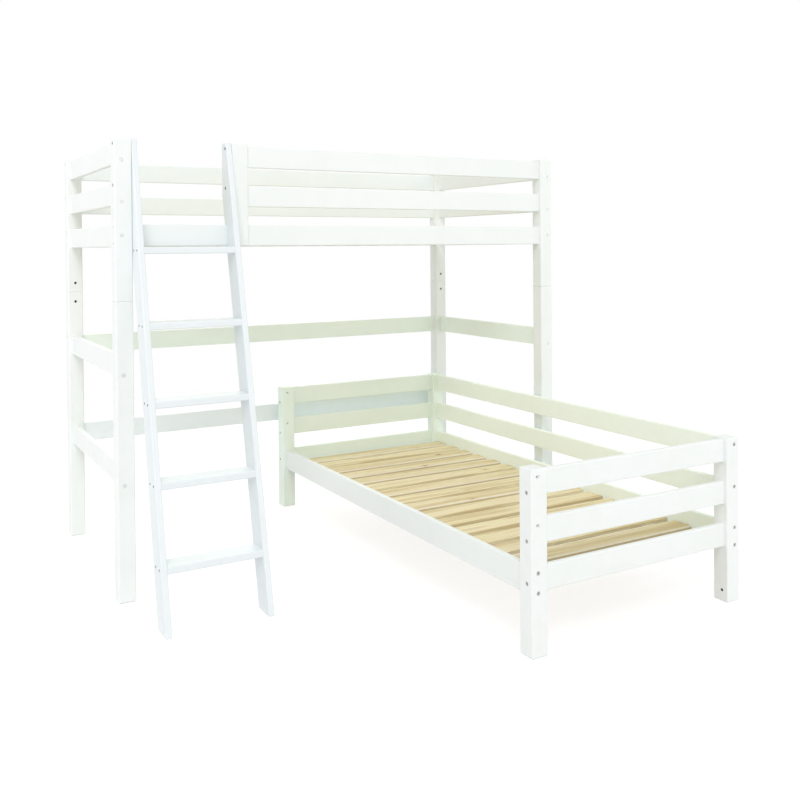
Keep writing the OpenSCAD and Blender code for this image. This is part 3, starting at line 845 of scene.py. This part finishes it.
def fixing_tree(name):
    """Heads and shanks on points that carry the way they face and their length."""
    web, given, end = geometry_tree(
        name,
        [
            ("Head", THING, None),
            ("Head Height", FLOAT, 0.003),
            ("Shank", FLOAT, 0.0045),
            ("Seed", INTEGER, 5),
            ("Material", MATERIAL, None),
        ],
    )
    points, height = given["Geometry"], given["Head Height"]
    facing = carried(web, "facing", "FLOAT_VECTOR")
    spin = web.combined(z=random_number(web, math.tau, given["Seed"]))
    spun = web.out("FunctionNodeEulerToRotation", Euler=spin)
    aimed = web.add("FunctionNodeAlignRotationToVector", axis="Z")
    web.put(aimed, Vector=facing)
    turned = web.add("FunctionNodeRotateRotation", rotation_space="LOCAL")
    turned = web.put(turned, Rotation=aimed.outputs[0], Rotate_By=spun).outputs[0]
    head = web.made("GeometryNodeObjectInfo", Object=given["Head"]).outputs["Geometry"]
    heads = web.out("GeometryNodeInstanceOnPoints", Points=points, Instance=head, Rotation=turned)

    rod = web.add("GeometryNodeMeshCylinder", fill_type="NGON")
    radius = web.math("DIVIDE", given["Shank"], 2.0)
    web.put(rod, Vertices=SHANK_SIDES, Radius=radius, Depth=1.0)
    hung = web.out("GeometryNodeTransform", Geometry=rod.outputs[0], Translation=(0.0, 0.0, -0.5))
    below = web.minus(carried(web, "long", "FLOAT"), height)
    down = web.stretched(facing, web.times(height, -1.0))
    sunk = web.out("GeometryNodeSetPosition", Geometry=points, Offset=down)
    stretch = web.combined(1.0, 1.0, below)
    rods = web.out(
        "GeometryNodeInstanceOnPoints", Points=sunk, Instance=hung, Rotation=turned, Scale=stretch
    )
    joined = web.add("GeometryNodeJoinGeometry")
    for part in (heads, rods):
        web.tree.links.new(part, joined.inputs[0])
    return end_tree(web, end, joined.outputs[0], given["Material"])


# ------------------------------------ pieces

NEARLY = 0.001


def extent(node):
    """Lowest corner, highest corner and size of a part of the frame."""
    low, high = (Vector(corner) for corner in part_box(node))
    return low, high, high - low


def within(point, low, high):
    """Whether a point is in a box, give or take a millimetre."""
    return all(low[k] - NEARLY < point[k] < high[k] + NEARLY for k in AXES)


def parts_of(what, test):
    """The parts of the frame that pass a test. There has to be one."""
    found = [node for node in NODES if test(node)]
    if not found:
        raise RuntimeError(f"no {what} in the frame")
    return found


def linked(name, data):
    """A new object in the scene."""
    thing = bpy.data.objects.new(name, data)
    bpy.context.scene.collection.objects.link(thing)
    return thing


def grown(name, mesh, tree, **values):
    """Runs a geometry tree on a mesh and returns the result as a plain object at the origin."""
    source = linked(name + " source", mesh)
    modifier = source.modifiers.new("grow", "NODES")
    modifier.node_group = tree
    sockets = {
        item.name.replace(" ", "_"): item.identifier
        for item in tree.interface.items_tree
        if item.in_out == "INPUT"
    }
    for label, value in values.items():
        modifier[sockets[label]] = value
    source.update_tag()
    bpy.context.view_layer.update()
    graph = bpy.context.evaluated_depsgraph_get()
    result = bpy.data.meshes.new_from_object(
        source.evaluated_get(graph), preserve_all_data_layers=True, depsgraph=graph
    )
    source.modifiers.remove(modifier)
    bpy.data.objects.remove(source)
    if not result.polygons:
        raise RuntimeError(f"{name} came out empty")
    result.name = name
    return linked(name, result)


def coat(names, material):
    """Gives parts of the frame a material in place of their own."""
    for name in names:
        mesh = NODES[name].data
        mesh.materials.clear()
        mesh.materials.append(material)


# Parts whose paint is tinted, by how their names begin: the ladder's own cooler paint, and for the
# rest painted light or shade. The first that fits counts
TINTS = {
    "ladder": ("ladder",),
    "guards": ("bed_guard", "bed_rail_right"),
    "cool": ("back_guard", "back_side_rail", "back_stretcher_low"),
    "green": ("bed_post_head", "headboard", "back_stretcher", "right_stretcher"),
}


def paint_for(node, way=None):
    """The paint of a part of the frame for the way its grain runs, each made once."""
    kind = next((tint for tint, starts in TINTS.items() if node.startswith(starts)), "white")
    way = way or "xyz"[longest(extent(node)[2])]
    name, bore = f"{kind} paint {way}", None
    if node.startswith("bed_post_foot"):
        name, bore = "foot post paint", foot_bore()
    colour = getattr(bpy.context.scene.bunk_paint, kind)
    return bpy.data.materials.get(name) or painted(name, way, colour, bore)


def foot_bore():
    """The blind bores low in the foot posts' inner faces: their middle, half reach and radius.

    They share an axis, so one bore from post to post stands for both.
    """
    height, radius, past_middle = 0.042, 0.0052, 0.005
    post_low, post_high, _ = extent("bed_post_foot_left")
    far_high = extent("bed_post_foot_right")[1]
    board_low, board_high, _ = extent("footboard_low")
    middle = Vector(((post_low.x + far_high.x) / 2, (board_low.y + board_high.y) / 2, height))
    return middle, middle.x - (post_low.x + post_high.x) / 2 + past_middle, radius


def steel(dark=False):
    """The steel of the beds' bolts and screws, or the blackened steel of the rest, made once."""
    settings = bpy.context.scene.bunk_fixings
    name, tone = ("blackened steel", 0.12) if dark else ("zinc plated steel", 1.0)
    colours = [[c * tone for c in colour] for colour in (settings.colour, settings.fresh)]
    return bpy.data.materials.get(name) or plated_steel(name, *colours)


def lay_slats(name, node, along, across, count, seed):
    """A row of slats in place of a plain row in the frame."""
    slats = bpy.context.scene.bunk_slats
    low, high, size = extent(node)
    wood = bpy.data.materials.get("slat pine") or bare_wood(
        "slat pine", slat_place, slat=(slats.width, size.z)
    )
    first = (low + high) / 2
    first[across] = low[across] + slats.width / 2
    step = Vector((0.0, 0.0, 0.0))
    step[across] = (size[across] - slats.width) / (count - 1)
    piece = grown(
        name,
        bpy.data.meshes.new(name + " seed"),
        shared("Slat row", slat_row_tree),
        Count=count, First=tuple(first), Step=tuple(step),
        Length=size[along], Width=slats.width, Thickness=size.z, Edge=slats.edge,
        Turn=math.pi / 2 if along == 1 else 0.0,
        Play=0.0006, Seed=seed, Material=wood,
    )
    for face in piece.data.polygons:
        face.use_smooth = False
    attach(piece, BODY)
    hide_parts(node)


def on_low_bed(place):
    """Whether a fixing sits in the low bed rather than in the loft bed."""
    lows, highs, _ = zip(*(extent(node) for node in NODES if node.startswith("bed_post")))
    low = [min(corner[k] for corner in lows) for k in AXES]
    high = [max(corner[k] for corner in highs) for k in AXES]
    return within(place, low, high)


def drive(name, node, head_mesh, head_height, head_width, shank, seed, proud=0.0, dark=False):
    """Detailed fixings in place of a part of the frame that holds plain ones.

    proud is how far their heads stand out of the timber.
    """
    places = fixing_places(node, (head_width + shank) / 4)
    points = bpy.data.meshes.new(name + " points")
    points.from_pydata([tuple(top + way * proud) for top, way, _ in places], [], [])
    facts = {
        "facing": ("FLOAT_VECTOR", "vector", [v for _, way, _ in places for v in way]),
        "long": ("FLOAT", "value", [length for _, _, length in places]),
        # Marks the loft bed's fixings for painted shine
        "fresh": ("FLOAT", "value", [float(not on_low_bed(top)) for top, _, _ in places]),
    }
    for fact, (kind, _, _) in facts.items():
        points.attributes.new(fact, kind, "POINT")
    for fact, (_, field, values) in facts.items():
        points.attributes[fact].data.foreach_set(field, values)
    head = linked(name + " head", head_mesh)
    piece = grown(
        name,
        points,
        shared("Fixings", fixing_tree),
        Head=head, Head_Height=head_height, Shank=shank,
        Seed=seed, Material=steel(dark),
    )
    bpy.data.objects.remove(head)
    low, high, _ = extent(node)
    if not all(within(vert.co, low, high) for vert in piece.data.vertices):
        raise RuntimeError(f"{name} strays from its places")
    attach(piece, BODY)
    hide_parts(node)


# ------------------------------------ operators


class BUNK_OT_paint_posts(bpy.types.Operator):
    """Paint the posts and legs of both beds and the guard post"""

    bl_idname = "bunk.paint_posts"
    bl_label = "Paint Posts"

    def execute(self, context):
        starts = ("leg_front", "leg_back", "upper_post", "bed_post", "guard_post")
        for node in parts_of("posts", lambda node: node.startswith(starts)):
            coat([node], paint_for(node, "z"))
        return {"FINISHED"}


class BUNK_OT_paint_boards(bpy.types.Operator):
    """Paint the rails, guard boards, stretchers, headboard, footboard and cleats"""

    bl_idname = "bunk.paint_boards"
    bl_label = "Paint Boards"

    def execute(self, context):
        kinds = ("rail", "guard_mid", "guard_top", "stretcher", "headboard", "footboard")
        for node in parts_of("boards", lambda node: any(kind in node for kind in kinds)):
            coat([node], paint_for(node))
        coat(["bed_cleats"], paint_for("bed_cleats", "y"))
        coat(["loft_cleats"], paint_for("loft_cleats", "x"))
        return {"FINISHED"}


class BUNK_OT_paint_ladder(bpy.types.Operator):
    """Paint the ladder's stiles and steps"""

    bl_idname = "bunk.paint_ladder"
    bl_label = "Paint Ladder"

    def execute(self, context):
        for start, way in (("ladder_stile", "stile"), ("ladder_step", "x")):
            for node in parts_of(start, lambda node: node.startswith(start)):
                coat([node], paint_for(node, way))
        return {"FINISHED"}


class BUNK_OT_low_slats(bpy.types.Operator):
    """Lay the low bed's pine slats"""

    bl_idname = "bunk.low_slats"
    bl_label = "Lay Low Bed Slats"

    def execute(self, context):
        count = context.scene.bunk_slats.low_count
        lay_slats("low_bed_slat_row", "bed_slats", 0, 1, count, seed=4)
        return {"FINISHED"}


class BUNK_OT_loft_slats(bpy.types.Operator):
    """Lay the loft bed's pine slats"""

    bl_idname = "bunk.loft_slats"
    bl_label = "Lay Loft Bed Slats"

    def execute(self, context):
        count = context.scene.bunk_slats.loft_count
        lay_slats("loft_bed_slat_row", "loft_slats", 1, 0, count, seed=9)
        return {"FINISHED"}


class BUNK_OT_dowels(bpy.types.Operator):
    """Finish the bare beech dowels inside the joints"""

    bl_idname = "bunk.dowels"
    bl_label = "Finish Dowels"

    def execute(self, context):
        coat(["leg_dowels"], bare_wood("dowel beech upright", still_place("z"), DOWEL_RINGS))
        coat(["board_dowels"], bare_wood("dowel beech", still_place("x"), DOWEL_RINGS))
        return {"FINISHED"}


class BUNK_OT_bolts(bpy.types.Operator):
    """Set the bolts with their hexagon sockets, the barrel nuts, the ladder's bolts and the pins"""

    bl_idname = "bunk.bolts"
    bl_label = "Set Bolts"

    def execute(self, context):
        fixings = context.scene.bunk_fixings
        width, shank = fixings.bolt_head, fixings.bolt_shank
        head = bolt_head(width)
        drive("frame_bolt_set", "frame_bolts", head, BOLT_HEAD_HEIGHT, width, shank, seed=21)
        coat(["barrel_nuts"], steel())
        coat(["ladder_bolts", "leg_pins"], steel(dark=True))
        return {"FINISHED"}


class BUNK_OT_screws(bpy.types.Operator):
    """Drive the screws of the slats, cleats and steps"""

    bl_idname = "bunk.screws"
    bl_label = "Drive Screws"

    def execute(self, context):
        fixings = context.scene.bunk_fixings
        width, shank = fixings.screw_head, fixings.screw_shank
        # The slats laid here have no countersinks, so the heads stand just clear of them
        proud = 0.0003
        for seed, node in enumerate(("ladder_screws", "loft_screws", "bed_screws"), start=31):
            name, head = node.removesuffix("s") + "_set", screw_head(width)
            dark = node == "ladder_screws"
            drive(name, node, head, SCREW_HEAD_HEIGHT, width, shank, seed, proud, dark)
        return {"FINISHED"}


# ------------------------------------ stage

WHITE = (1.0, 1.0, 1.0, 1.0)
ROOM_TINT = (0.99, 1.0, 0.94, 1.0)
SEEN_FLOOR = (0.28, 0.28, 0.29, 1.0)
FLOOR_GLOW = 0.76
FLOOR_HALF = 14.0
FLOOR_DROP = 0.0006

LAMP_WHITE, LAMP_GREEN = (1.0, 0.955, 1.0), (0.95, 1.0, 0.93)
# Name, share of the power, colour, side, place and what it is aimed at
LAMPS = (
    ("key lamp", 9.8, LAMP_WHITE, 7.6, (-6.4, -11.0, 16.0), (0.0, -0.2, 0.6)),
    ("low key lamp", 4.7, LAMP_WHITE, 10.2, (-8.4, -14.8, 11.9), (0.0, 0.0, 0.7)),
    ("side lamp", 0.36, LAMP_WHITE, 3.0, (-4.6, 0.6, 2.6), (0.0, 0.0, 0.8)),
    ("front lamp", 0.72, LAMP_WHITE, 4.8, (3.8, -8.4, 1.4), (0.3, 0.0, 0.5)),
    ("right lamp", 0.69, LAMP_GREEN, 4.8, (7.4, -2.4, 4.4), (0.0, 0.0, 0.7)),
    ("back lamp", 1.4, LAMP_GREEN, 4.8, (1.6, 7.7, 4.8), (0.0, 0.0, 0.6)),
)

# The camera in metres and degrees. It looks along +Y before its turn to the right
CAMERA_PLACE = (-1.8198, -3.3879, 1.3224)
CAMERA_TURN, CAMERA_TILT, CAMERA_ROLL = 29.934, -0.569, -0.469
CAMERA_SHIFT = (0.0034, -0.1786)
SENSOR_WIDTH = 36.0


def seen(web):
    """1 where the camera or a reflection looks, so that only the picture is white."""
    path = web.add("ShaderNodeLightPath").outputs
    rays = web.math("MAXIMUM", path["Is Camera Ray"], path["Is Glossy Ray"])
    return web.math("MAXIMUM", rays, path["Is Transmission Ray"])


class BUNK_OT_stage(bpy.types.Operator):
    """Set the floor, the lamps, the room and the camera"""

    bl_idname = "bunk.stage"
    bl_label = "Set the Stage"

    def execute(self, context):
        stage = context.scene.bunk_stage
        self.floor(stage)
        self.room(stage)
        self.lamps(stage)
        self.camera(stage)
        context.scene.view_settings.view_transform = "Standard"
        return {"FINISHED"}

    def floor(self, stage):
        """A pale floor that keeps the shadow near the bed and is plain white farther out."""
        corners = [(-1, -1), (1, -1), (1, 1), (-1, 1)]
        mesh = bpy.data.meshes.new("floor")
        mesh.from_pydata(
            [(x * FLOOR_HALF, y * FLOOR_HALF, -FLOOR_DROP) for x, y in corners], [], [(0, 1, 2, 3)]
        )
        material = bpy.data.materials.new("pale floor")
        material.use_nodes = True
        material.node_tree.nodes.clear()
        web = Web(material.node_tree)
        looked_at = seen(web)
        pale = web.mix(looked_at, opaque(stage.floor), SEEN_FLOOR)
        lit = web.out("ShaderNodeBsdfPrincipled", Base_Color=pale, Roughness=0.7)
        none = web.out("ShaderNodeEmission", Strength=0.0)
        glow = web.out("ShaderNodeEmission", Color=WHITE, Strength=FLOOR_GLOW)
        lift = web.out("ShaderNodeMixShader", _0=looked_at, _1=none, _2=glow)
        near = web.out("ShaderNodeAddShader", _0=lit, _1=lift)
        away = web.length(web.where())
        fade = web.times(web.ramp(away, 2.0, 5.0), looked_at)
        white = web.out("ShaderNodeEmission", Color=WHITE, Strength=1.0)
        both = web.out("ShaderNodeMixShader", _0=fade, _1=near, _2=white)
        web.made("ShaderNodeOutputMaterial", Surface=both)
        mesh.materials.append(material)
        floor = linked("floor", mesh)

    def room(self, stage):
        """Even light from all round, in front of a white background."""
        world = bpy.data.worlds.new("room")
        world.use_nodes = True
        world.node_tree.nodes.clear()
        web = Web(world.node_tree)
        fill = web.out("ShaderNodeBackground", Color=ROOM_TINT, Strength=stage.fill)
        white = web.out("ShaderNodeBackground", Color=WHITE, Strength=1.0)
        both = web.out("ShaderNodeMixShader", _0=seen(web), _1=fill, _2=white)
        web.made("ShaderNodeOutputWorld", Surface=both)
        bpy.context.scene.world = world

    def lamps(self, stage):
        """Large square lamps round the bed."""
        for name, share, colour, side, place, aim in LAMPS:
            lamp = bpy.data.lights.new(name, "AREA")
            lamp.shape = "SQUARE"
            lamp.size = side
            lamp.color = colour
            lamp.energy = stage.power * share
            holder = linked(name, lamp)
            holder.location = place
            toward = Vector(aim) - Vector(place)
            holder.rotation_euler = toward.to_track_quat("-Z", "Y").to_euler()

    def camera(self, stage):
        """The camera fitted to the photo, its lens shifted to frame the bed as the photo does."""
        turn, tilt, roll = (math.radians(a) for a in (CAMERA_TURN, CAMERA_TILT, CAMERA_ROLL))
        level = Vector((math.cos(turn), -math.sin(turn), 0.0))
        level_share = math.cos(tilt)
        ahead = Vector((math.sin(turn) * level_share, math.cos(turn) * level_share, math.sin(tilt)))
        above = level.cross(ahead)
        right = level * math.cos(roll) + above * math.sin(roll)
        up = above * math.cos(roll) - level * math.sin(roll)
        view = bpy.data.cameras.new("camera")
        view.lens = stage.lens
        view.sensor_width = SENSOR_WIDTH
        view.shift_x, view.shift_y = CAMERA_SHIFT
        view.clip_end = 100.0
        place = Matrix((right, up, -ahead)).transposed().to_4x4()
        place.translation = Vector(CAMERA_PLACE)
        camera = linked("camera", view)
        camera.matrix_world = place
        bpy.context.scene.camera = camera


# ------------------------------------ panel and start


class BUNK_PT_workshop(bpy.types.Panel):
    """Steps that finish the bunk bed, in order"""

    bl_idname = "BUNK_PT_workshop"
    bl_label = "Bunk Bed"
    bl_space_type = "VIEW_3D"
    bl_region_type = "UI"
    bl_category = "Bunk Bed"

    def draw(self, context):
        column = self.layout.column()
        for step in STEPS:
            column.operator(step.bl_idname)


STEPS = (
    BUNK_OT_paint_posts,
    BUNK_OT_paint_boards,
    BUNK_OT_paint_ladder,
    BUNK_OT_low_slats,
    BUNK_OT_loft_slats,
    BUNK_OT_dowels,
    BUNK_OT_bolts,
    BUNK_OT_screws,
    BUNK_OT_stage,
)
SETTINGS = {
    "bunk_paint": BUNK_PG_paint,
    "bunk_pine": BUNK_PG_pine,
    "bunk_slats": BUNK_PG_slats,
    "bunk_fixings": BUNK_PG_fixings,
    "bunk_stage": BUNK_PG_stage,
}


def register():
    for kind in (*SETTINGS.values(), *STEPS, BUNK_PT_workshop):
        bpy.utils.register_class(kind)
    for name, kind in SETTINGS.items():
        setattr(bpy.types.Scene, name, PointerProperty(type=kind))


def unregister():
    for name in SETTINGS:
        delattr(bpy.types.Scene, name)
    for kind in reversed((*SETTINGS.values(), *STEPS, BUNK_PT_workshop)):
        bpy.utils.unregister_class(kind)


def main():
    register()
    for step in STEPS:
        area, verb = step.bl_idname.split(".")
        getattr(getattr(bpy.ops, area), verb)()


if __name__ == "__main__":
    main()
